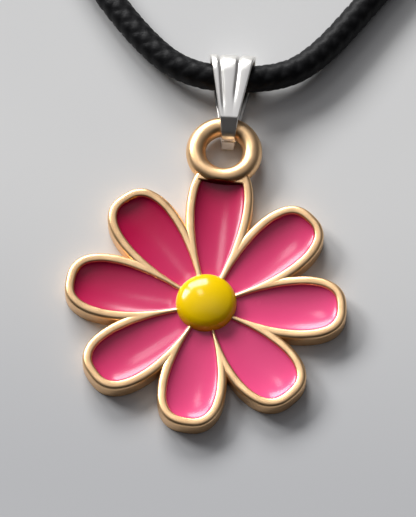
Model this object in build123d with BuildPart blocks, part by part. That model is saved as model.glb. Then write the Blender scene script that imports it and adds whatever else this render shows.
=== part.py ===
from build123d import *

import os
from collections import namedtuple
from math import asin, atan2, cos, degrees, hypot, pi, radians, sin, tan

# An enamelled flower pendant on its cord, laid down on its back. Millimetres, +Z up out of the
# flower's face, +Y towards the ring that the flower hangs by. The origin is the middle of the
# flower's flat back.
os.makedirs("parts", exist_ok=True)

# Flower casting
flower_diameter = 20.2
casting_thickness = 1.5
rim_width = 0.68
rim_round = 0.32
pocket_depth = 0.9
piece_gap = 0.03

# Enamel cells: the shape that every petal shares
cell_half_width = 1.78
cell_swell = 0.87
cell_bluntness = 0.35
cell_underlap = 1.4
meniscus_drop = 0.26
enamel_hollow = 0.4

# Yellow centre
dome_diameter = 4.36
dome_rise = 0.8
dome_crown = 0.7
dome_shoulder_round = 0.7

# Cast ring above the top petal
ring_radius = 2.05
ring_wire_diameter = 1.44
ring_overlap = 1.91
ring_rise = 0.3
ring_seat = 0.45

# Folded bail between the ring and the cord
bail_thickness = 0.26
bail_ring_clearance = 0.08
bail_cord_clearance = 0.3
bail_reach = 3.89
bail_lean = 3.0
bail_drop = 0.16
bail_knee_reach = 0.3
bail_knee_rise = 0.42
bail_knee_radius = 0.45
bail_toe_reach = 1.12
bail_toe_radius = 0.3
bail_offset = 0.14
bail_fold_width = 3.45
bail_waist_width = 1.28
bail_tip_width = 0.9
bail_mouth = 0.22
bail_mouth_rise = 0.1
groove_depth = 0.1
groove_radius = 0.3
groove_end_radius = 0.1

# The two grooves in the bail's front leaf, which part three ribs. Offsets are from the middle of
# the leaf, at the fold and where the groove runs out.
Groove = namedtuple("Groove", "fold_offset end_offset length")
grooves = [
    Groove(fold_offset=-0.88, end_offset=-0.45, length=2.7),
    Groove(fold_offset=0.52, end_offset=0.24, length=1.9),
]

# Cord and clasp
cord_diameter = 2.0
floor_clearance = 0.02
clasp_diameter = 3.4
clasp_length = 14.0
clasp_clearance = 0.05
clasp_end_round = 0.5
arc_share = 0.45

# One row for each petal, clockwise from the ring. Angles are degrees clockwise from +Y: tip is
# where the petal points, root is where its axis crosses the dome's edge. Reach and width are
# shares of the cell's reach and of its half width.
Petal = namedtuple("Petal", "tip root reach width")
petals = [
    Petal(tip=0.8, root=2.4, reach=1.11, width=0.97),
    Petal(tip=42.9, root=47.8, reach=1.02, width=0.98),
    Petal(tip=86.3, root=92.6, reach=0.99, width=1.00),
    Petal(tip=134.0, root=139.4, reach=0.945, width=1.04),
    Petal(tip=182.6, root=183.2, reach=0.95, width=0.98),
    Petal(tip=229.6, root=227.2, reach=0.99, width=1.01),
    Petal(tip=274.4, root=272.2, reach=1.01, width=1.03),
    Petal(tip=318.0, root=317.6, reach=1.03, width=1.00),
]
cell_side_shares = [0.09, 0.22, 0.38, 0.56, 0.74, 0.88, 0.97]

pocket_floor = casting_thickness - pocket_depth
cell_reach = flower_diameter / 2 - rim_width
dome_radius = dome_diameter / 2
cord_radius = cord_diameter / 2
ring_wire_radius = ring_wire_diameter / 2
ring_height = casting_thickness - ring_wire_radius + ring_rise
ring_centre_y = cell_reach * petals[0].reach + rim_width - ring_overlap + ring_radius + ring_wire_radius
ring_wire_y = ring_centre_y + ring_radius
ring_seat_y = ring_centre_y - ring_radius - ring_seat
cord_floor_height = cord_radius + floor_clearance
cord_bail_height = cord_radius + bail_cord_clearance + bail_thickness + floor_clearance
cord_rising_height = (cord_floor_height + cord_bail_height) / 2
clasp_height = clasp_diameter / 2

# The cord's route, chosen by hand: from one end in the clasp, round the loop's left side, through
# the bail and back up the right side to the other end. X and Y are from the middle of the bail's
# fold, and Z is from the surface below.
cord_route = [
    (-4.9, 185.56, clasp_height),
    (-13.9, 185.24, clasp_height),
    (-23.1, 181.54, cord_floor_height),
    (-35.8, 169.44, cord_floor_height),
    (-46.8, 143.44, cord_floor_height),
    (-50.8, 108.44, cord_floor_height),
    (-44.8, 72.94, cord_floor_height),
    (-32.8, 42.94, cord_floor_height),
    (-21, 21.94, cord_floor_height),
    (-12.2, 8.74, cord_floor_height),
    (-6.9, 2.34, cord_rising_height),
    (-3, -0.36, cord_bail_height),
    (2.6, -0.07, cord_bail_height),
    (5.8, 1.79, cord_rising_height),
    (9.7, 7.94, cord_floor_height),
    (17.3, 20.29, cord_floor_height),
    (29.1, 41.44, cord_floor_height),
    (41.7, 71.14, cord_floor_height),
    (46.7, 106.84, cord_floor_height),
    (41.2, 141.44, cord_floor_height),
    (30.7, 168.94, cord_floor_height),
    (18.4, 182.24, cord_floor_height),
    (9.2, 185.99, clasp_height),
    (0.1, 185.69, clasp_height),
]


def polar(radius, angle):
    """The point at a radius and at an angle clockwise from +Y."""
    return Vector(radius * sin(radians(angle)), radius * cos(radians(angle)))


def petal_axis(petal):
    """The start, direction and length of a petal's cell, which begins under the dome."""
    tip = polar(cell_reach * petal.reach, petal.tip)
    root = polar(dome_radius, petal.root)
    direction = (tip - root).normalized()
    start = root - direction * cell_underlap
    return start, direction, (tip - start).length


def half_width(share):
    """A cell's half width at a share of its length, as a share of its greatest half width."""
    widest = cell_swell / (cell_swell + cell_bluntness)
    swelling = (share / widest) ** cell_swell
    return swelling * ((1 - share) / (1 - widest)) ** cell_bluntness


def petal_plane(petal, height):
    """The level plane of a petal, with its origin at the cell's start and +X towards the tip."""
    start, direction, length = petal_axis(petal)
    return Plane(origin=(start.X, start.Y, height), x_dir=direction, z_dir=(0, 0, 1))


def cell_side(length, widest, grow):
    """Points along one side of a cell's outline, moved out from it by grow."""
    points = []
    for share in cell_side_shares:
        across = widest * half_width(share)
        slope = across * (cell_swell / share - cell_bluntness / (1 - share)) / length
        steepness = hypot(1, slope)
        points.append((length * share - grow * slope / steepness, across + grow / steepness))
    return points


def cell_face(petal, height, grow):
    """The outline of a petal's cell as a face, grown or shrunk all round."""
    length = petal_axis(petal)[2]
    side = cell_side(length, cell_half_width * petal.width, grow)
    other_side = [(along, -across) for along, across in reversed(side)]
    with BuildSketch(petal_plane(petal, height)) as cell:
        with BuildLine():
            outline = Spline(*side, (length + grow, 0), *other_side)
            Line(outline @ 1, outline @ 0)
        make_face()
    return cell.sketch


def petal_body(petal):
    """A petal's outer body, its top edge rounded, before the cells are cut."""
    with BuildPart() as body:
        extrude(cell_face(petal, 0, rim_width), amount=casting_thickness)
        top_edges = body.faces().sort_by(Axis.Z)[-1].edges()
        fillet(top_edges.filter_by(GeomType.BSPLINE), rim_round)
    return body.part


def petal_cell(petal, floor, top, gap):
    """The room in a petal's rim between two heights, shrunk by a gap and ended short of the ring."""
    with BuildPart() as cell:
        extrude(cell_face(petal, floor, -gap), amount=top - floor)
        split(bisect_by=Plane(origin=(0, ring_seat_y - gap, 0), z_dir=(0, 1, 0)), keep=Keep.BOTTOM)
    return cell.part


# The gold casting: back plate, petal walls and the ring are one piece of metal. The top petal ends
# under the ring's wire, and its pocket has a straight end beside it.
with BuildPart() as flower_frame:
    for petal in petals:
        add(petal_body(petal))
    with BuildSketch():
        Circle(dome_radius)
    extrude(amount=casting_thickness)
    with BuildSketch():
        with Locations((0, ring_centre_y)):
            Circle(ring_radius)
    extrude(amount=casting_thickness, mode=Mode.SUBTRACT)
    with Locations((0, ring_centre_y, ring_height)):
        Torus(ring_radius, ring_wire_radius)
    for petal in petals:
        add(petal_cell(petal, pocket_floor, casting_thickness + ring_rise, 0), mode=Mode.SUBTRACT)
    with BuildSketch(Plane.XY.offset(pocket_floor)):
        Circle(dome_radius + piece_gap)
    extrude(amount=pocket_depth, mode=Mode.SUBTRACT)
flower_frame.part.label = "flower_frame"
export_step(flower_frame.part, "parts/flower_frame.step")

# Pink enamel, one piece in each petal. Its top is a long shallow hollow, turned about a level
# axis above the petal, and its edge climbs the metal all round.
enamel_base = pocket_floor + piece_gap
enamel_edge = casting_thickness - meniscus_drop
hollow_radius = (cell_half_width ** 2 + enamel_hollow ** 2) / (2 * enamel_hollow)
hollow_axis = enamel_edge - enamel_hollow + hollow_radius
for number, petal in enumerate(petals, start=1):
    start, direction, length = petal_axis(petal)
    side_plane = Plane(origin=start, x_dir=direction, z_dir=direction.cross(Vector(0, 0, 1)))
    with BuildPart() as enamel:
        add(petal_cell(petal, enamel_base, enamel_edge, piece_gap))
        with BuildSketch(Plane.XY.offset(pocket_floor)):
            Circle(dome_radius + piece_gap)
        extrude(amount=pocket_depth, mode=Mode.SUBTRACT)
        with BuildSketch(side_plane):
            with BuildLine():
                bottom = ThreePointArc(
                    (cell_underlap, enamel_edge),
                    ((cell_underlap + length) / 2, enamel_edge - enamel_hollow),
                    (length, enamel_edge),
                )
                Polyline(bottom @ 1, (length, hollow_axis), (cell_underlap, hollow_axis), bottom @ 0)
            make_face()
        revolve(axis=Axis(start + Vector(0, 0, hollow_axis), direction), mode=Mode.SUBTRACT)
    enamel.part.label = f"petal_enamel_{number}"
    export_step(enamel.part, f"parts/petal_enamel_{number}.step")

# Yellow enamel centre, a low dome with a rounded shoulder
dome_top = casting_thickness + dome_rise
dome_shoulder = dome_top - dome_crown
with BuildPart() as centre_dome:
    with BuildSketch(Plane.XZ):
        with BuildLine():
            Polyline(
                (0, dome_top),
                (0, enamel_base),
                (dome_radius, enamel_base),
                (dome_radius, dome_shoulder),
            )
            crown_radius = (dome_radius ** 2 + dome_crown ** 2) / (2 * dome_crown)
            RadiusArc((0, dome_top), (dome_radius, dome_shoulder), crown_radius)
        whole = make_face()
        fillet(whole.vertices().sort_by(Axis.X)[-2:].sort_by(Axis.Y)[-1], dome_shoulder_round)
    revolve(axis=Axis.Z)
centre_dome.part.label = "centre_dome"
export_step(centre_dome.part, "parts/centre_dome.step")

# Silver bail: one strip folded over the cord, with its two ends bent into the ring. Seen from the
# side it is a belt round the cord, a knee above the ring's wire, the wire and a toe inside the
# ring. It leans a little to the left, lies bail_offset beside the ring's middle and hangs
# bail_drop below the wire.
bail_direction = Vector(-sin(radians(bail_lean)), cos(radians(bail_lean)))
bail_across = bail_direction.cross(Vector(0, 0, 1))
bail_origin = Vector(bail_offset, ring_wire_y)
bail_side = Plane(origin=bail_origin, x_dir=bail_direction, z_dir=bail_across)
ring_end_outside = ring_wire_radius + bail_ring_clearance + bail_thickness
cord_end_outside = cord_radius + bail_cord_clearance + bail_thickness
knee_height = ring_height + ring_end_outside + bail_knee_rise - bail_knee_radius
toe_height = floor_clearance + bail_toe_radius
toe_end = -bail_toe_reach - bail_toe_radius
bail_end = bail_reach + cord_end_outside

# The front leaf's outer face, from the knee to above the cord
leaf_rise = cord_bail_height - knee_height
leaf_reach = bail_reach - bail_knee_reach
leaf_slope = atan2(leaf_rise, leaf_reach)
leaf_slope += asin((cord_end_outside - bail_knee_radius) / hypot(leaf_rise, leaf_reach))
leaf_normal = Vector(0, 0, cos(leaf_slope)) - bail_direction * sin(leaf_slope)
leaf_run = bail_direction * cos(leaf_slope) + Vector(0, 0, sin(leaf_slope))
fold_centre = bail_origin + bail_direction * bail_reach + Vector(0, 0, cord_bail_height)
fold_crest = fold_centre + leaf_normal * cord_end_outside


def bail_belt(inset):
    """The face inside the belt round the cord, the knee, the wire and the toe, shrunk by inset."""
    with BuildSketch(bail_side) as belt:
        with BuildLine():
            CenterArc((-bail_drop, ring_height), ring_end_outside - inset, 0, 360)
            CenterArc((bail_reach, cord_bail_height), cord_end_outside - inset, 0, 360)
            CenterArc((bail_knee_reach, knee_height), bail_knee_radius - inset, 0, 360)
            CenterArc((-bail_toe_reach, toe_height), bail_toe_radius - inset, 0, 360)
        make_hull()
    return belt.sketch


with BuildPart() as bail:
    extrude(bail_belt(0), amount=bail_fold_width, both=True)
    extrude(bail_belt(bail_thickness), amount=bail_fold_width, both=True, mode=Mode.SUBTRACT)
    with BuildSketch(bail_side):
        with Locations((toe_end, ring_height + bail_mouth_rise)):
            Rectangle(-2 * toe_end, bail_mouth)
    extrude(amount=bail_fold_width, both=True, mode=Mode.SUBTRACT)
    with BuildSketch(Plane(origin=bail_origin, x_dir=bail_direction, z_dir=(0, 0, 1))):
        Polygon(
            (toe_end, -bail_tip_width / 2),
            (0, -bail_waist_width / 2),
            (bail_end, -bail_fold_width / 2),
            (bail_end, bail_fold_width / 2),
            (0, bail_waist_width / 2),
            (toe_end, bail_tip_width / 2),
            align=None,
        )
    extrude(amount=fold_crest.Z + bail_thickness, mode=Mode.INTERSECT)
    for groove in grooves:
        fold_point = fold_crest + bail_across * groove.fold_offset
        groove_start = fold_point + leaf_normal * (groove_radius - groove_depth)
        groove_end = fold_crest + bail_across * groove.end_offset - leaf_run * groove.length
        groove_end += leaf_normal * groove_end_radius
        groove_run = groove_end - groove_start
        with Locations(Plane(origin=groove_start, z_dir=groove_run)):
            Cone(
                groove_radius,
                groove_end_radius,
                groove_run.length,
                align=(Align.CENTER, Align.CENTER, Align.MIN),
                mode=Mode.SUBTRACT,
            )
        fold_turn = Plane(
            origin=fold_centre + bail_across * groove.fold_offset,
            x_dir=(0, 0, -1),
            z_dir=bail_across,
        )
        with Locations(fold_turn):
            Torus(
                cord_end_outside + groove_radius - groove_depth,
                groove_radius,
                major_angle=180 + degrees(leaf_slope),
                mode=Mode.SUBTRACT,
            )
bail.part.label = "bail"
export_step(bail.part, "parts/bail.step")


def turn_between(before, corner, after):
    """The angle in degrees by which a route turns at a corner."""
    return (corner - before).get_angle(after - corner)


# The cord: straight runs joined by arcs as large as their runs allow
route = [Vector(fold_centre.X + x, fold_centre.Y + y, z) for x, y, z in cord_route]
cord_radii = []
for before, corner, after in zip(route, route[1:], route[2:]):
    shorter_run = min((corner - before).length, (after - corner).length)
    cord_radii.append(arc_share * shorter_run / tan(radians(turn_between(before, corner, after) / 2)))
with BuildPart() as cord:
    with BuildLine() as path:
        FilletPolyline(*route, radius=cord_radii)
    with BuildSketch(Plane(origin=path.line @ 0, z_dir=path.line % 0)):
        Circle(cord_radius)
    sweep()
cord.part.label = "cord"
export_step(cord.part, "parts/cord.step")
print("cord radii", [round(radius, 1) for radius in cord_radii])
cord_length = path.wire().length
print("cord length", round(cord_length, 1), "volume", round(cord.part.volume, 1))
print("section times length", round(cord_length * pi * cord_radius ** 2, 1))

# Plain barrel clasp at the back of the neck, bored from both ends for the cord
clasp_axis = (route[-1] - route[0]).normalized()
clasp_middle = (route[0] + route[-1]) / 2
cord_end_spacing = (route[-1] - route[0]).length
with BuildPart(Plane(origin=clasp_middle, z_dir=clasp_axis)) as clasp:
    Cylinder(clasp_diameter / 2, clasp_length)
    fillet(clasp.edges().filter_by(GeomType.CIRCLE), clasp_end_round)
    for side in (1, -1):
        with Locations((0, 0, side * (cord_end_spacing / 2 - piece_gap))):
            Cylinder(
                cord_radius + clasp_clearance,
                clasp_length,
                align=(Align.CENTER, Align.CENTER, Align.MIN if side > 0 else Align.MAX),
                mode=Mode.SUBTRACT,
            )
clasp.part.label = "clasp"
export_step(clasp.part, "parts/clasp.step")
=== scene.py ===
from collections import namedtuple
from math import acos, asin, atan2, cos, exp, floor, hypot, pi, radians, sin, sqrt

import bmesh
import bpy
from mathutils import Matrix, Vector, noise


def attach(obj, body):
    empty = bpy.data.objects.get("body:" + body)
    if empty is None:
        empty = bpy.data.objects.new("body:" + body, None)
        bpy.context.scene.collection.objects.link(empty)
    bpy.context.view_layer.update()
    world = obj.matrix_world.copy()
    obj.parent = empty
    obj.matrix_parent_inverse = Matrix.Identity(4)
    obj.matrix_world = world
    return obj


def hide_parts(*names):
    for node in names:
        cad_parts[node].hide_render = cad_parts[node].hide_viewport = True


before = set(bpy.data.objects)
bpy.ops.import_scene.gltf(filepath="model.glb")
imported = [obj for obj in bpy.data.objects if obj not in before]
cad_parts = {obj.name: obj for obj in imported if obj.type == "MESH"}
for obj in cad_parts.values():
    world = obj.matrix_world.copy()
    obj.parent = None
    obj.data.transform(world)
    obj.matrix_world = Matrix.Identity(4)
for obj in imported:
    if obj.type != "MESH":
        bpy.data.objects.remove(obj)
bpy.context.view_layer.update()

# An enamelled flower pendant on its braided cord, laid down on its back. Sizes are in metres, in
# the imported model's own frame: +Z up out of the flower's face, +Y towards its ring.
mm = 0.001
up = Vector((0, 0, 1))
merge_distance = 0.001 * mm
turn_steps = 96

# Flower casting
flower_diameter = 20.2 * mm
casting_thickness = 1.5 * mm
rim_width = 0.68 * mm
pocket_depth = 0.9 * mm
rim_outer_round = 0.3 * mm
rim_inner_round = 0.16 * mm
rim_outer_steps = 6
rim_inner_steps = 4
foot_bevel = 0.05 * mm
outline_points = 144
face_dish = 0.3 * mm
casting_wave = 0.012 * mm
casting_wave_length = 0.9 * mm
casting_wave_seed = 1

# Enamel cells: the shape that every petal shares
cell_half_width = 1.78 * mm
cell_swell = 0.87
cell_bluntness = 0.35
cell_underlap = 1.4 * mm
enamel_drop = 0.26 * mm
enamel_sag = 0.42 * mm
enamel_curl = 0.05 * mm
enamel_curl_width = 0.07 * mm
dome_curl = 0.1 * mm
dome_curl_width = 0.13 * mm
enamel_overlap = 0.02 * mm

# Yellow centre
dome_diameter = 4.36 * mm
dome_rise = 0.8 * mm
dome_crown = 0.7 * mm
dome_shoulder_width = 0.525 * mm

# Cast ring above the top petal
ring_radius = 2.05 * mm
ring_wire_diameter = 1.44 * mm
ring_overlap = 1.91 * mm
ring_rise = 0.3 * mm
ring_seat = 0.45 * mm
ring_seat_tolerance = 0.02 * mm
ring_wire_steps = 32
# How far to each side of the middle the painted shade on the top pocket's end wall reaches
painted_shade_reach = 0.9 * cell_half_width

# Folded bail
bail_thickness = 0.26 * mm
bail_ring_clearance = 0.08 * mm
bail_cord_clearance = 0.3 * mm
bail_reach = 3.89 * mm
bail_lean = 3.0
bail_drop = 0.16 * mm
bail_knee_reach = 0.3 * mm
bail_knee_rise = 0.42 * mm
bail_knee_radius = 0.45 * mm
bail_toe_reach = 1.12 * mm
bail_toe_radius = 0.3 * mm
bail_offset = 0.14 * mm
bail_fold_width = 3.45 * mm
bail_waist_width = 1.28 * mm
bail_tip_width = 0.9 * mm
bail_mouth = 0.22 * mm
bail_mouth_rise = 0.1 * mm

# Cord
cord_diameter = 2.0 * mm
floor_clearance = 0.02 * mm
clasp_diameter = 3.4 * mm

# One row for each petal, clockwise from the ring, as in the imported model: angles are degrees
# clockwise from +Y, reach and width are shares of the cell's reach and of its half width.
Petal = namedtuple("Petal", "tip root reach width")
petals = [
    Petal(tip=0.8, root=2.4, reach=1.11, width=0.97),
    Petal(tip=42.9, root=47.8, reach=1.02, width=0.98),
    Petal(tip=86.3, root=92.6, reach=0.99, width=1.00),
    Petal(tip=134.0, root=139.4, reach=0.945, width=1.04),
    Petal(tip=182.6, root=183.2, reach=0.95, width=0.98),
    Petal(tip=229.6, root=227.2, reach=0.99, width=1.01),
    Petal(tip=274.4, root=272.2, reach=1.01, width=1.03),
    Petal(tip=318.0, root=317.6, reach=1.03, width=1.00),
]

cell_reach = flower_diameter / 2 - rim_width
dome_radius = dome_diameter / 2
cord_radius = cord_diameter / 2
ring_wire_radius = ring_wire_diameter / 2
ring_height = casting_thickness - ring_wire_radius + ring_rise
pocket_floor = casting_thickness - pocket_depth
petal_end = cell_reach * petals[0].reach + rim_width
ring_centre = Vector((0, petal_end - ring_overlap + ring_radius + ring_wire_radius, ring_height))
ring_seat_y = ring_centre.y - ring_radius - ring_seat
ridge_start_radius = dome_radius * 1.2
ridge_end_radius = flower_diameter * 0.3
cord_floor_height = cord_radius + floor_clearance
cord_bail_height = cord_radius + bail_cord_clearance + bail_thickness + floor_clearance
cord_rising_height = (cord_floor_height + cord_bail_height) / 2
clasp_height = clasp_diameter / 2


def polar(radius, angle):
    """The point at a radius and at an angle in degrees clockwise from +Y."""
    return Vector((radius * sin(radians(angle)), radius * cos(radians(angle)), 0))


def dished(point):
    """A point of the flower's upper face, let down a little towards the flower's middle."""
    outwards = min(1, (point.x ** 2 + point.y ** 2) / (flower_diameter / 2) ** 2)
    drop = face_dish * (1 - outwards) * min(1, point.z / casting_thickness)
    return Vector((point.x, point.y, point.z - drop))


# Mesh helpers

def placed_grid(columns, rows, place):
    """A grid whose vertex in a column and a row is moved to place(column, row)."""
    shape = bmesh.new()
    bmesh.ops.create_grid(shape, x_segments=columns, y_segments=rows, size=1)
    for vert in shape.verts:
        column = round((vert.co.x + 1) / 2 * columns)
        row = round((vert.co.y + 1) / 2 * rows)
        vert.co = place(column, row)
    return shape


def merge_doubles(shape):
    """Merges the vertices that meet."""
    bmesh.ops.remove_doubles(shape, verts=shape.verts, dist=merge_distance)


def close_seams(shape):
    """Merges what meets and turns all faces outwards."""
    merge_doubles(shape)
    bmesh.ops.recalc_face_normals(shape, faces=shape.faces)


def close_ends(shape):
    """Closes the seams and fills what is still open at the ends."""
    merge_doubles(shape)
    bmesh.ops.holes_fill(shape, edges=[edge for edge in shape.edges if edge.is_boundary])
    close_seams(shape)


def turn_profile(shape):
    """Turns a profile once round the upright axis through the origin."""
    bmesh.ops.spin(
        shape,
        geom=list(shape.verts) + list(shape.edges),
        cent=(0, 0, 0),
        axis=(0, 0, 1),
        angle=2 * pi,
        steps=turn_steps,
        use_merge=True,
    )


def piece_from(shape, name, material, node, sharp=40):
    """Turns a bmesh into a piece that replaces a CAD node, with edges over sharp degrees left sharp."""
    mesh = bpy.data.meshes.new(name)
    shape.to_mesh(mesh)
    shape.free()
    mesh.shade_smooth()
    mesh.set_sharp_from_angle(angle=radians(sharp))
    mesh.materials.append(material)
    piece = bpy.data.objects.new(name, mesh)
    bpy.context.scene.collection.objects.link(piece)
    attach(piece, "root")
    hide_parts(node)
    return piece


# Petal outlines

def petal_axis(petal):
    """The start, direction and length of a petal's cell, which begins under the dome."""
    tip = polar(cell_reach * petal.reach, petal.tip)
    root = polar(dome_radius, petal.root)
    direction = (tip - root).normalized()
    start = root - direction * cell_underlap
    return start, direction, (tip - start).length


def half_width(share):
    """A cell's half width at a share of its length, as a share of its greatest half width."""
    widest = cell_swell / (cell_swell + cell_bluntness)
    swelling = (share / widest) ** cell_swell
    return swelling * ((1 - share) / (1 - widest)) ** cell_bluntness


def cell_point(petal, share, across):
    """The point of a cell at a share of its length and of its half width, +1 being the left."""
    start, direction, length = petal_axis(petal)
    left = Vector((-direction.y, direction.x, 0))
    to_side = left * cell_half_width * petal.width * half_width(share) * across
    return start + direction * length * share + to_side


def even_points(points, count):
    """Points evenly spaced along a line of points, both ends included."""
    lengths = [0]
    for before, after in zip(points, points[1:]):
        lengths.append(lengths[-1] + (after - before).length)
    spaced = []
    index = 0
    for number in range(count):
        distance = lengths[-1] * number / (count - 1)
        while index < len(points) - 2 and lengths[index + 1] < distance:
            index += 1
        part = (distance - lengths[index]) / (lengths[index + 1] - lengths[index])
        spaced.append(points[index].lerp(points[index + 1], part))
    return spaced


def cell_outline(petal, grow):
    """A cell's outline from root to tip and back, moved outwards by grow."""
    fine = 240
    first_share = 0.002
    shares = [1 - (1 - first_share) * (1 - step / fine) ** 2 for step in range(fine)]
    one_side = [cell_point(petal, share, -1) for share in shares]
    other_side = [cell_point(petal, share, 1) for share in shares]
    tip = cell_point(petal, 1, 0)
    points = even_points(one_side + [tip] + other_side[::-1], outline_points)
    grown = []
    for index, point in enumerate(points):
        before = points[max(index - 1, 0)]
        after = points[min(index + 1, len(points) - 1)]
        along = (after - before).normalized()
        grown.append(point + Vector((along.y, -along.x, 0)) * grow)
    return grown


def point_at_radius(petal, side, radius):
    """Where one side of a petal's cell is at a distance from the flower's middle."""
    steps = 400
    for step in range(1, steps):
        point = cell_point(petal, step / steps, side)
        if point.length > radius:
            return point


def ridge_line(petal, next_petal):
    """Two points on the middle of the ridge between a petal and the next one clockwise."""
    ends = []
    for radius in (ridge_start_radius, ridge_end_radius):
        one_side = point_at_radius(petal, -1, radius)
        other_side = point_at_radius(next_petal, 1, radius)
        ends.append((one_side + other_side) / 2)
    return ends


# Gold casting

def petal_solid(petal):
    """A petal of the casting: raised from its outline, with a pocket sunk inside its rim."""
    shape = bmesh.new()
    outline = [shape.verts.new(point) for point in cell_outline(petal, rim_width)]
    foot = shape.faces.new(outline)
    raised = bmesh.ops.extrude_face_region(shape, geom=[foot], use_keep_orig=True)["geom"]
    top_verts = [item for item in raised if isinstance(item, bmesh.types.BMVert)]
    top = next(item for item in raised if isinstance(item, bmesh.types.BMFace))
    bmesh.ops.translate(shape, verts=top_verts, vec=(0, 0, casting_thickness))
    bmesh.ops.inset_region(shape, faces=[top], thickness=rim_width, use_even_offset=True)
    cell_verts = set(top.verts)
    rim = [
        edge for edge in shape.edges
        if all(vert.co.z > 0 and vert not in cell_verts for vert in edge.verts)
    ]
    # The top pocket ends in a flat wall below the ring, and that wall's upper edge stays sharp
    for vert in cell_verts:
        vert.co.y = min(vert.co.y, ring_seat_y)
    cell_edges = [
        edge for edge in top.edges
        if any(vert.co.y < ring_seat_y - ring_seat_tolerance for vert in edge.verts)
    ]
    sunk = bmesh.ops.extrude_face_region(shape, geom=[top])["geom"]
    bmesh.ops.delete(shape, geom=[top], context="FACES_ONLY")
    sunk_verts = [item for item in sunk if isinstance(item, bmesh.types.BMVert)]
    bmesh.ops.translate(shape, verts=sunk_verts, vec=(0, 0, -pocket_depth))
    for edges, width, segments in (
        (rim, rim_outer_round, rim_outer_steps),
        (cell_edges, rim_inner_round, rim_inner_steps),
        (list(foot.edges), foot_bevel, 1),
    ):
        bmesh.ops.bevel(
            shape,
            geom=edges,
            offset=width,
            offset_type="OFFSET",
            segments=segments,
            profile=0.5,
            affect="EDGES",
            material=-1,
            clamp_overlap=False,
        )
    # What stands in the ring's hole is pushed out to the hole's edge
    for vert in shape.verts:
        from_ring = (vert.co - ring_centre) * Vector((1, 1, 0))
        if from_ring.length < ring_radius:
            vert.co += from_ring.normalized() * (ring_radius - from_ring.length)
    return shape


def cut_off(shape, place, outward):
    """Cuts away what lies outward of a place and closes the cut."""
    cut = bmesh.ops.bisect_plane(
        shape,
        geom=list(shape.verts) + list(shape.edges) + list(shape.faces),
        plane_co=place,
        plane_no=outward,
        clear_outer=True,
    )["geom_cut"]
    edges = [item for item in cut if isinstance(item, bmesh.types.BMEdge)]
    if edges:
        bmesh.ops.edgenet_fill(shape, edges=edges)


def cut_at_ridge(shape, ridge, keep_side):
    """Cuts a petal along the middle of a ridge."""
    along = (ridge[1] - ridge[0]).normalized()
    cut_off(shape, ridge[0], Vector((along.y, -along.x, 0)) * keep_side)


def join_into(whole, shape):
    """Adds a bmesh to another one."""
    mesh = bpy.data.meshes.new("part of a piece")
    shape.to_mesh(mesh)
    shape.free()
    whole.from_mesh(mesh)
    bpy.data.meshes.remove(mesh)


def cast_ring():
    """The ring, a round wire turned about its own middle and cut flat at the top pocket's end."""
    shape = bmesh.new()
    circle = bmesh.ops.create_circle(shape, segments=ring_wire_steps, radius=ring_wire_radius)
    wire = circle["verts"]
    bmesh.ops.rotate(shape, verts=wire, matrix=Matrix.Rotation(pi / 2, 3, "X"))
    bmesh.ops.translate(shape, verts=wire, vec=(ring_radius, 0, 0))
    turn_profile(shape)
    bmesh.ops.translate(shape, verts=shape.verts, vec=ring_centre)
    for vert in shape.verts:
        vert.co.y = max(vert.co.y, ring_seat_y)
    close_seams(shape)
    return shape


def flower_casting(material):
    """The gold casting: eight petals that meet along their ridges, and the ring."""
    whole = bmesh.new()
    for index, petal in enumerate(petals):
        shape = petal_solid(petal)
        cut_at_ridge(shape, ridge_line(petal, petals[(index + 1) % len(petals)]), 1)
        cut_at_ridge(shape, ridge_line(petals[index - 1], petal), -1)
        close_seams(shape)
        join_into(whole, shape)
    for vert in whole.verts:
        vert.co = dished(vert.co)
    join_into(whole, cast_ring())
    noise.seed_set(casting_wave_seed)
    for vert in whole.verts:
        wave = noise.noise_vector(vert.co / casting_wave_length) * casting_wave
        vert.co += wave * min(1, vert.co.z / rim_width)
    return piece_from(whole, "flower_casting", material, "flower_frame")


# Enamel

def enamel_height(petal, point, share, across):
    """The height of a cell's enamel, a shallow trough that climbs its walls and the dome."""
    width = half_width(share) if share < 1 else 0
    trough = enamel_sag * width ** 2 * (1 - across ** 2)
    wall_gap = cell_half_width * width * (1 - abs(across))
    curl = enamel_curl * exp(-wall_gap / enamel_curl_width)
    climb = dome_curl * exp(-max(point.length - dome_radius, 0) / dome_curl_width)
    return casting_thickness - enamel_drop - trough + curl + climb


def petal_enamel(petal, number, material):
    """The enamel in one petal, as a closed piece down to the pocket's floor."""
    rows = 64
    columns = 36
    first_share = 0.09
    crowding = 2.2
    grow = enamel_overlap / cell_half_width

    def place(column, row):
        share = 1 - (1 - first_share) * (1 - row / rows) ** crowding
        across = sin(pi / 2 * (2 * column / columns - 1))
        point = cell_point(petal, min(share, 1), across * (1 + grow))
        point.z = enamel_height(petal, point, share, across)
        return dished(point)

    shape = placed_grid(columns, rows, place)
    merge_doubles(shape)
    top = list(shape.faces)
    lowered = bmesh.ops.extrude_face_region(shape, geom=top, use_keep_orig=True)["geom"]
    for item in lowered:
        if isinstance(item, bmesh.types.BMVert):
            item.co.z = pocket_floor
    close_seams(shape)
    cut_off(shape, (0, ring_seat_y + enamel_overlap, 0), (0, 1, 0))
    close_seams(shape)
    node = f"petal_enamel_{number}"
    return piece_from(shape, f"enamel_{number}", material, node, sharp=60)


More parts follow.
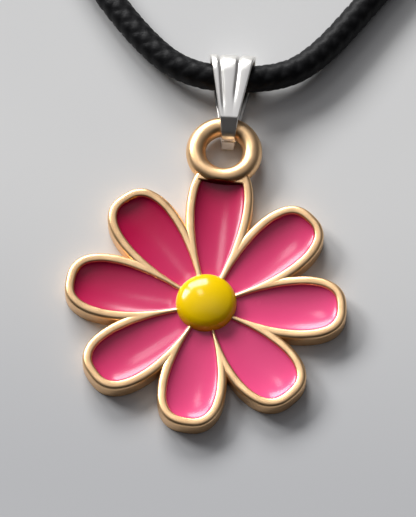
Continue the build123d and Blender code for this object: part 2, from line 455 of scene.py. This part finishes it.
def yellow_centre(material):
    """The yellow centre: a low cap on a rounded shoulder, turned about the flower's middle."""
    cap_steps = 24
    shoulder_steps = 12
    crown_radius = (dome_radius ** 2 + dome_crown ** 2) / (2 * dome_crown)
    top = casting_thickness + dome_rise
    slope = asin((dome_radius - dome_shoulder_width) / crown_radius)
    profile = []
    for step in range(cap_steps + 1):
        angle = slope * step / cap_steps
        profile.append((crown_radius * sin(angle), top - crown_radius * (1 - cos(angle))))
    edge_x, edge_z = profile[-1]
    shoulder_radius = (dome_radius - edge_x) / (1 - sin(slope))
    for step in range(1, shoulder_steps + 1):
        angle = slope + (pi / 2 - slope) * step / shoulder_steps
        profile.append((
            edge_x + shoulder_radius * (sin(angle) - sin(slope)),
            edge_z - shoulder_radius * (cos(slope) - cos(angle)),
        ))
    profile.append((dome_radius, pocket_floor))
    shape = bmesh.new()
    verts = [shape.verts.new((x, 0, z)) for x, z in profile]
    for first, second in zip(verts, verts[1:]):
        shape.edges.new((first, second))
    turn_profile(shape)
    close_ends(shape)
    return piece_from(shape, "yellow_centre", material, "centre_dome", sharp=60)


# Bail

bail_direction = Vector((-sin(radians(bail_lean)), cos(radians(bail_lean)), 0))
bail_across = bail_direction.cross(up)
bail_origin = Vector((bail_offset, ring_centre.y + ring_radius, 0))
ring_end_middle = ring_wire_radius + bail_ring_clearance + bail_thickness / 2
cord_end_middle = cord_radius + bail_cord_clearance + bail_thickness / 2
knee_middle = bail_knee_radius - bail_thickness / 2
knee_crest = ring_height + ring_end_middle + bail_thickness / 2 + bail_knee_rise
toe_middle = bail_toe_radius - bail_thickness / 2
toe_end = -bail_toe_reach - bail_toe_radius
fold_centre = bail_origin + bail_direction * bail_reach + Vector((0, 0, cord_bail_height))

# The two grooves in the bail's front leaf. Offsets are shares of the leaf's half width, and
# reach is how far down the leaf from the fold each one runs.
Groove = namedtuple("Groove", "offset reach")
grooves = [Groove(offset=-0.56, reach=2.9 * mm), Groove(offset=0.33, reach=2.1 * mm)]
groove_depth = 0.1 * mm
groove_width = 0.13 * mm
groove_fade = 0.25 * mm
rib_crown = 0.04 * mm
rib_reach = 2.5 * mm
rib_fade = 0.5 * mm
relief_drop = 1.0 * mm
strip_corner = 0.1 * mm


def tangent_angle(first, second):
    """The normal's angle where a straight run of the strip leaves one circle for the next one."""
    along, rise = second[0] - first[0], second[1] - first[1]
    return atan2(rise, along) + acos((first[2] - second[2]) / hypot(along, rise))


def bail_path():
    """Points round the middle of the bail's strip: distance along the bail, height, normal's angle."""
    toe = (-bail_toe_reach, floor_clearance + bail_toe_radius, toe_middle)
    wire = (-bail_drop, ring_height, ring_end_middle)
    knee = (bail_knee_reach, knee_crest - bail_knee_radius, knee_middle)
    fold = (bail_reach, cord_bail_height, cord_end_middle)
    steep = tangent_angle(toe, wire)
    sloping = tangent_angle(wire, knee)
    front = tangent_angle(knee, fold)
    back = tangent_angle(fold, toe)

    def on_circle(circle, angle):
        return circle[0] + circle[2] * cos(angle), circle[1] + circle[2] * sin(angle), angle

    def arc(circle, first, last, steps):
        return [on_circle(circle, first + (last - first) * step / steps) for step in range(steps + 1)]

    def run(first, last, steps):
        parts = [step / steps for step in range(steps + 1)]
        return [tuple(low + (high - low) * part for low, high in zip(first, last)) for part in parts]

    def at_height(height):
        low, high = on_circle(toe, steep), on_circle(wire, steep)
        part = (height - low[1]) / (high[1] - low[1])
        return low[0] + (high[0] - low[0]) * part, height, steep

    mouth = ring_height + bail_mouth_rise
    mouth_top = at_height(mouth + bail_mouth / 2)
    mouth_foot = at_height(mouth - bail_mouth / 2)[:2] + (steep - 2 * pi,)
    stretches = [
        run(mouth_top, on_circle(wire, steep), steps=6),
        arc(wire, steep, sloping, steps=12),
        run(on_circle(wire, sloping), on_circle(knee, sloping), steps=8),
        arc(knee, sloping, front, steps=8),
        run(on_circle(knee, front), on_circle(fold, front), steps=36),
        arc(fold, front, back, steps=40),
        run(on_circle(fold, back), on_circle(toe, back), steps=24),
        arc(toe, back, steep - 2 * pi, steps=12),
        run(on_circle(toe, steep - 2 * pi), mouth_foot, steps=8),
    ]
    return [point for stretch in stretches for point in stretch[:-1]] + stretches[-1][-1:]


def bail_half_width(along):
    """Half the strip's width at a distance along the bail from the ring's wire."""
    cord_end = bail_reach + cord_end_middle + bail_thickness / 2
    if along < 0:
        return (bail_waist_width + (bail_tip_width - bail_waist_width) * along / toe_end) / 2
    return (bail_waist_width + (bail_fold_width - bail_waist_width) * along / cord_end) / 2


def rib_relief(across, half, fold_distance):
    """How far the strip's face stands out for its ribs and dips for its grooves."""
    relief = 0
    for groove in grooves:
        fade = 1 / (1 + exp((fold_distance - groove.reach) / groove_fade))
        gap = (across - groove.offset) * half
        relief -= groove_depth * fade * exp(-(gap / groove_width) ** 2)
    swell = rib_crown / (1 + exp((fold_distance - rib_reach) / rib_fade))
    edges = [-1] + [groove.offset for groove in grooves] + [1]
    for low, high in zip(edges, edges[1:]):
        if low <= across <= high:
            middle = (low + high) / 2
            relief += swell * (1 - ((across - middle) / ((high - low) / 2)) ** 2)
    return relief


def folded_bail(material):
    """The silver bail: a ribbed strip folded over the cord, its ends bent into the ring."""
    path = bail_path()
    face_rows = 96
    rows_around = 2 * face_rows + 2

    def place(column, row):
        along, height, angle = path[column]
        outer = row % rows_around <= face_rows
        step = row if outer else rows_around - 1 - row
        across = sin(pi / 2 * (2 * (step % rows_around) / face_rows - 1))
        half = bail_half_width(along)
        into_corner = max(abs(across) * half - half + strip_corner, 0)
        out = bail_thickness / 2 - strip_corner + sqrt(strip_corner ** 2 - into_corner ** 2)
        if outer:
            relief = rib_relief(across, half, max(bail_reach - along, 0))
            out += relief * min(1, max(0, 1 - (cord_bail_height - height) / relief_drop))
        else:
            out = -out
        point = bail_origin + bail_direction * (along + out * cos(angle))
        point += bail_across * across * half
        point.z = height + out * sin(angle)
        return point

    shape = placed_grid(len(path) - 1, rows_around, place)
    close_ends(shape)
    return piece_from(shape, "folded_bail", material, "bail", sharp=50)


# Cord

# The cord's route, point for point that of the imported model: from one end in the clasp, round the
# loop's left side, through the bail and back to the other end. X and Y are from the middle of the
# bail's fold, in millimetres, and the height is from the surface below.
cord_route = [
    (-4.9, 185.56, clasp_height),
    (-13.9, 185.24, clasp_height),
    (-23.1, 181.54, cord_floor_height),
    (-35.8, 169.44, cord_floor_height),
    (-46.8, 143.44, cord_floor_height),
    (-50.8, 108.44, cord_floor_height),
    (-44.8, 72.94, cord_floor_height),
    (-32.8, 42.94, cord_floor_height),
    (-21, 21.94, cord_floor_height),
    (-12.2, 8.74, cord_floor_height),
    (-6.9, 2.34, cord_rising_height),
    (-3, -0.36, cord_bail_height),
    (2.6, -0.07, cord_bail_height),
    (5.8, 1.79, cord_rising_height),
    (9.7, 7.94, cord_floor_height),
    (17.3, 20.29, cord_floor_height),
    (29.1, 41.44, cord_floor_height),
    (41.7, 71.14, cord_floor_height),
    (46.7, 106.84, cord_floor_height),
    (41.2, 141.44, cord_floor_height),
    (30.7, 168.94, cord_floor_height),
    (18.4, 182.24, cord_floor_height),
    (9.2, 185.99, clasp_height),
    (0.1, 185.69, clasp_height),
]
strands_each_way = 4
strand_squareness = 2.4
strand_dip = 0.45
strand_dip_bluntness = 0.8
braid_pitch = 4.6 * mm
braid_relief = 0.09 * mm
steps_around = 32


def cord_line():
    """Points along the cord's smooth middle line, read from its NURBS curve."""
    curve = bpy.data.curves.new("cord_line", "CURVE")
    curve.dimensions = "3D"
    curve.resolution_u = 64
    spline = curve.splines.new("NURBS")
    spline.points.add(len(cord_route) - 1)
    for point, (x, y, height) in zip(spline.points, cord_route):
        point.co = (fold_centre.x + x * mm, fold_centre.y + y * mm, height, 1)
    spline.order_u = 3
    spline.use_endpoint_u = True
    holder = bpy.data.objects.new("cord_line", curve)
    bpy.context.scene.collection.objects.link(holder)
    mesh = bpy.data.meshes.new_from_object(holder)
    points = [vert.co.copy() for vert in mesh.vertices]
    bpy.data.objects.remove(holder)
    bpy.data.curves.remove(curve)
    bpy.data.meshes.remove(mesh)
    return points


def braid_depth(turn, distance):
    """How far the cord's face lies inside its outer radius, at a share of a turn round the cord."""
    first = strands_each_way * (distance / braid_pitch + turn)
    second = strands_each_way * (distance / braid_pitch - turn)
    first_on_top = (floor(first) + floor(second)) % 2 == 0
    across = (first if first_on_top else second) % 1 - 0.5
    along = (second if first_on_top else first) % 1 - 0.5
    bow = 1 - strand_dip + strand_dip * cos(pi * along) ** strand_dip_bluntness
    crown = (1 - (2 * abs(across)) ** strand_squareness) * bow
    return braid_relief * (1 - crown)


def braided_cord(material):
    """The cord: a round braid whose two sets of strands pass over and under each other."""
    line = cord_line()
    length = sum((after - before).length for before, after in zip(line, line[1:]))
    step = braid_pitch / steps_around
    columns = int(length / step)
    points = even_points(line, columns + 1)

    def place(column, row):
        before = points[max(column - 1, 0)]
        after = points[min(column + 1, columns)]
        tangent = (after - before).normalized()
        side = tangent.cross(up).normalized()
        top = side.cross(tangent)
        turn = row / steps_around
        radius = cord_radius - braid_depth(turn, column * step)
        return points[column] + (side * cos(2 * pi * turn) + top * sin(2 * pi * turn)) * radius

    shape = placed_grid(columns, steps_around, place)
    close_ends(shape)
    return piece_from(shape, "braided_cord", material, "cord", sharp=180)


# Shader maths

class Wire:
    """A shader socket whose arithmetic adds Math nodes."""

    def __init__(self, nodes, socket):
        self.nodes = nodes
        self.socket = socket

    def __add__(self, other):
        return self.nodes.maths("ADD", self, other)

    def __sub__(self, other):
        return self.nodes.maths("SUBTRACT", self, other)

    def __rsub__(self, other):
        return self.nodes.maths("SUBTRACT", other, self)

    def __mul__(self, other):
        return self.nodes.maths("MULTIPLY", self, other)

    __radd__ = __add__
    __rmul__ = __mul__


class Nodes:
    """A node tree that is built up node by node."""

    def __init__(self, tree):
        self.tree = tree

    def add(self, kind, values, output=0, stops=None, **settings):
        """Adds a node, sets it, fills its inputs and gives one of its outputs."""
        node = self.tree.nodes.new("ShaderNode" + kind)
        for setting, value in settings.items():
            setattr(node, setting, value)
        if stops:
            elements = node.color_ramp.elements
            while len(elements) < len(stops):
                elements.new(0.5)
            for element, (position, colour) in zip(elements, stops):
                element.position = position
                element.color = (*colour, 1)
        for socket, value in values.items():
            self.feed(node.inputs[socket], value)
        return Wire(self, node.outputs[output])

    def feed(self, socket, value):
        """Links or sets one input."""
        if isinstance(value, Wire):
            self.tree.links.new(value.socket, socket)
        elif isinstance(value, tuple) and len(value) == 3 and socket.type == "RGBA":
            socket.default_value = (*value, 1)
        else:
            socket.default_value = value

    def maths(self, operation, first, second):
        """A Math node's result."""
        return self.add("Math", {0: first, 1: second}, operation=operation)

    def mix(self, factor, first, second, blend_type="MIX"):
        """A colour between two others."""
        values = {0: factor, 6: first, 7: second}
        return self.add("Mix", values, output=2, data_type="RGBA", blend_type=blend_type)

    def place(self, space):
        """The three coordinates of each point in the space of that name."""
        parts = self.add("SeparateXYZ", {0: self.add("TexCoord", {}, output=space)})
        return [Wire(self, socket) for socket in parts.socket.node.outputs]


class Finish(Nodes):
    """A procedural material."""

    def __init__(self, name, **constants):
        self.material = bpy.data.materials.new(name)
        self.material.use_nodes = True
        super().__init__(self.material.node_tree)
        self.shader = self.tree.nodes["Principled BSDF"]
        for constant, value in constants.items():
            socket = constant.replace("_", " ").title().replace("Ior", "IOR")
            self.shader.inputs[socket].default_value = value

    def noise(self, size, detail=2.0):
        """Noise from 0 to 1 whose grains are about as large as size."""
        place = self.add("TexCoord", {}, output="Object")
        return self.add("TexNoise", {"Vector": place, "Scale": 1 / size, "Detail": detail})

    def ramp(self, value, low, high, interpolation_type="LINEAR"):
        """A share that runs from 0 where a value is low to 1 where it is high."""
        values = {0: value, 1: low, 2: high, 3: 0.0, 4: 1.0}
        return self.add("MapRange", values, interpolation_type=interpolation_type)

    def bump(self, height, depth):
        """Turns a height from 0 to 1 into a dented normal."""
        self.set("Normal", self.add("Bump", {"Height": height, "Distance": depth, "Strength": 1.0}))

    def set(self, socket, value):
        """Links or sets one of the shader's own inputs."""
        self.feed(self.shader.inputs[socket], value)


def gold_plate():
    """Champagne gold plate with a satin grain, and painted shade darkening the top pocket's end wall
    below the ring.
    """
    finish = Finish("gold_plate", metallic=1.0)
    grain = finish.noise(0.09 * mm, detail=3.0)
    patches = finish.noise(1.6 * mm)
    x, y = finish.place("Object")[:2]
    # Painted shade: a dark brown band on the top pocket's end wall, where the ring shades it
    off_end = finish.maths("ABSOLUTE", y - ring_seat_y, 0.0)
    off_middle = finish.maths("ABSOLUTE", x, 0.0)
    painted_end_wall_shade = finish.ramp(off_end, 0.12 * mm, 0.04 * mm)
    painted_end_wall_shade *= finish.maths("LESS_THAN", off_middle, painted_shade_reach)
    plate = finish.mix(patches, (0.92, 0.57, 0.28), (0.98, 0.67, 0.385))
    finish.set("Base Color", finish.mix(painted_end_wall_shade, plate, (0.15, 0.08, 0.035)))
    finish.set("Roughness", 0.22 + 0.14 * patches + 0.14 * grain)
    finish.bump(grain, 0.008 * mm)
    return finish.material


def pink_enamel():
    """Glossy pink enamel, a little uneven, with painted shade deepening it towards the upper left and a
    painted sheen paling it towards the lower right.
    """
    finish = Finish("pink_enamel", coat_weight=0.45, coat_roughness=0.16, specular_ior_level=0.15)
    clouds = finish.noise(2.2 * mm)
    x, y = finish.place("Object")[:2]
    # Painted shade and sheen: deep crimson towards the upper left, pale pink towards the lower right
    painted_shade_and_sheen = finish.ramp(x - y, -11 * mm, 12 * mm)
    tone = finish.mix(clouds, (0.42, 0.003, 0.05), (0.47, 0.006, 0.062))
    finish.set("Base Color", finish.mix(painted_shade_and_sheen, tone, (0.88, 0.09, 0.26)))
    finish.set("Roughness", 0.2 + 0.1 * clouds)
    finish.bump(finish.noise(0.7 * mm), 0.006 * mm)
    return finish.material


def yellow_enamel():
    """Glossy yellow enamel."""
    finish = Finish("yellow_enamel", coat_weight=0.45, coat_roughness=0.1, specular_ior_level=0.15)
    clouds = finish.noise(1.8 * mm)
    finish.set("Base Color", finish.mix(clouds, (0.86, 0.56, 0.0), (0.92, 0.62, 0.0)))
    finish.set("Roughness", 0.16 + 0.1 * clouds)
    finish.bump(finish.noise(0.8 * mm), 0.006 * mm)
    return finish.material


def silver_plate():
    """Bright silver plate with a faint brushed grain."""
    finish = Finish("silver_plate", metallic=1.0)
    grain = finish.noise(0.12 * mm, detail=3.0)
    patches = finish.noise(1.2 * mm)
    finish.set("Base Color", finish.mix(patches, (0.97, 0.945, 0.90), (1.0, 0.985, 0.95)))
    finish.set("Roughness", 0.3 + 0.08 * patches)
    finish.bump(grain, 0.003 * mm)
    return finish.material


def waxed_braid():
    """Black waxed yarn."""
    finish = Finish("black_cord", specular_ior_level=0.14)
    grain = finish.noise(0.12 * mm, detail=4.0)
    finish.set("Base Color", finish.mix(grain, (0.0025, 0.0025, 0.003), (0.009, 0.009, 0.010)))
    finish.set("Roughness", 0.34 + 0.25 * grain)
    finish.bump(grain, 0.02 * mm)
    return finish.material


def clasp_metal():
    """Polished steel with fine scratches."""
    finish = Finish("clasp_metal", metallic=1.0)
    grain = finish.noise(0.2 * mm, detail=3.0)
    finish.set("Base Color", finish.mix(grain, (0.62, 0.62, 0.62), (0.80, 0.80, 0.79)))
    finish.set("Roughness", 0.18 + 0.15 * grain)
    finish.bump(grain, 0.004 * mm)
    return finish.material


def pale_floor():
    """A plain pale matt surface, with painted shade making it a little darker below the flower."""
    finish = Finish("pale_floor")
    clouds = finish.noise(18 * mm)
    x, y = finish.place("Object")[:2]
    distance = finish.maths("SQRT", x * x + y * y, 0.0)
    # Painted shade: a soft darker patch on the floor below the flower, fading out far from it
    shade = finish.ramp(y, 12 * mm, -16 * mm, "SMOOTHSTEP")
    shade *= finish.ramp(distance, 150 * mm, 25 * mm, "SMOOTHSTEP")
    tone = finish.mix(clouds, (0.59, 0.59, 0.592), (0.635, 0.635, 0.632))
    finish.set("Base Color", finish.mix(shade, tone, (0.478, 0.482, 0.495)))
    finish.set("Roughness", 0.75 + 0.1 * clouds)
    return finish.material


# Pieces

gold = gold_plate()
flower_casting(gold)
pink = pink_enamel()
for number, petal in enumerate(petals, start=1):
    petal_enamel(petal, number, pink)
yellow_centre(yellow_enamel())
folded_bail(silver_plate())
braided_cord(waxed_braid())
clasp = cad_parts["clasp"]
clasp.data.materials.clear()
clasp.data.materials.append(clasp_metal())

# Stage

floor_radius = 2.0
floor_drop = 0.01 * mm
light_distance = 2.4
picture_width = 416
pixels_per_mm = 14.05
camera_distance = 250 * mm

# The camera's shift in the picture's own plane, which sets where in it the flower lies
camera_right = 0.128 * mm
camera_up = 3.011 * mm


def floor_piece():
    """The plain surface that the pendant lies on."""
    shape = bmesh.new()
    bmesh.ops.create_circle(shape, cap_ends=True, segments=64, radius=floor_radius)
    bmesh.ops.translate(shape, verts=shape.verts, vec=(0, 0, -floor_drop))
    mesh = bpy.data.meshes.new("floor")
    shape.to_mesh(mesh)
    shape.free()
    mesh.materials.append(pale_floor())
    floor = bpy.data.objects.new("floor", mesh)
    bpy.context.scene.collection.objects.link(floor)


floor_piece()

# The picture's own axes on the floor: the flower is turned a little clockwise in it
picture_turn = radians(6.2)
picture_right = Vector((cos(picture_turn), sin(picture_turn), 0))
picture_up = Vector((-sin(picture_turn), cos(picture_turn), 0))


def place_camera():
    """The camera: a long lens above the flower, tilted back from straight down."""
    tilt = radians(24)
    back = up * cos(tilt) - picture_up * sin(tilt)
    top = picture_up * cos(tilt) + up * sin(tilt)
    camera = bpy.data.cameras.new("camera")
    camera.sensor_fit = "HORIZONTAL"
    camera.sensor_width = 36
    camera.lens = camera.sensor_width * pixels_per_mm * camera_distance / mm / picture_width
    camera.clip_start = 0.01
    camera.clip_end = 20
    holder = bpy.data.objects.new("camera", camera)
    middle = Vector((0, 0, casting_thickness))
    place = middle + back * camera_distance + picture_right * camera_right + top * camera_up
    turn = Matrix((picture_right, top, back)).transposed().to_4x4()
    holder.matrix_world = Matrix.Translation(place) @ turn
    bpy.context.scene.collection.objects.link(holder)
    bpy.context.scene.camera = holder


def place_light(name, azimuth, elevation, width, height, power):
    """A soft light that faces the flower: degrees, metres and watts, azimuth from the picture's top."""
    level = picture_up * cos(radians(azimuth)) + picture_right * sin(radians(azimuth))
    away = level * cos(radians(elevation)) + up * sin(radians(elevation))
    light = bpy.data.lights.new(name, "AREA")
    light.shape = "RECTANGLE"
    light.size = width
    light.size_y = height
    light.energy = power
    holder = bpy.data.objects.new(name, light)
    turn = away.to_track_quat("Z", "Y").to_matrix().to_4x4()
    holder.matrix_world = Matrix.Translation(away * light_distance) @ turn
    holder.visible_camera = False
    bpy.context.scene.collection.objects.link(holder)


place_camera()
place_light("back window", azimuth=-16, elevation=28, width=1.36, height=0.72, power=51)
place_light("left window", azimuth=-50, elevation=30, width=0.8, height=0.7, power=39)
place_light("roof light", azimuth=-20, elevation=53, width=0.36, height=0.6, power=5)


def grey_stops(*levels):
    """The stops of a ramp from its positions and levels, a very little bluer than grey."""
    blue = 1.02
    return [(position, (level, level, level * blue)) for position, level in levels]


def room():
    """The room's own light: dim low down, brighter overhead, and dimmed most half way up in front."""
    world = bpy.data.worlds.new("room")
    world.use_nodes = True
    nodes = Nodes(world.node_tree)
    y, z = nodes.place("Generated")[1:]
    sky = grey_stops((0, 0.05), (0.35, 0.05), (0.6, 0.1), (0.8, 0.2), (0.9, 0.4), (1, 0.58))
    near_side = grey_stops((0.1, 1), (0.3, 0.2), (0.75, 0.06), (0.95, 0.6))
    levels = nodes.add("ValToRGB", {0: z}, stops=sky)
    shade = nodes.add("ValToRGB", {0: y * -1}, stops=near_side)
    dimmed = nodes.mix(1.0, levels, shade, blend_type="MULTIPLY")
    nodes.feed(nodes.tree.nodes["Background"].inputs["Color"], dimmed)
    return world


bpy.context.scene.world = room()
bpy.context.scene.view_settings.view_transform = "Standard"
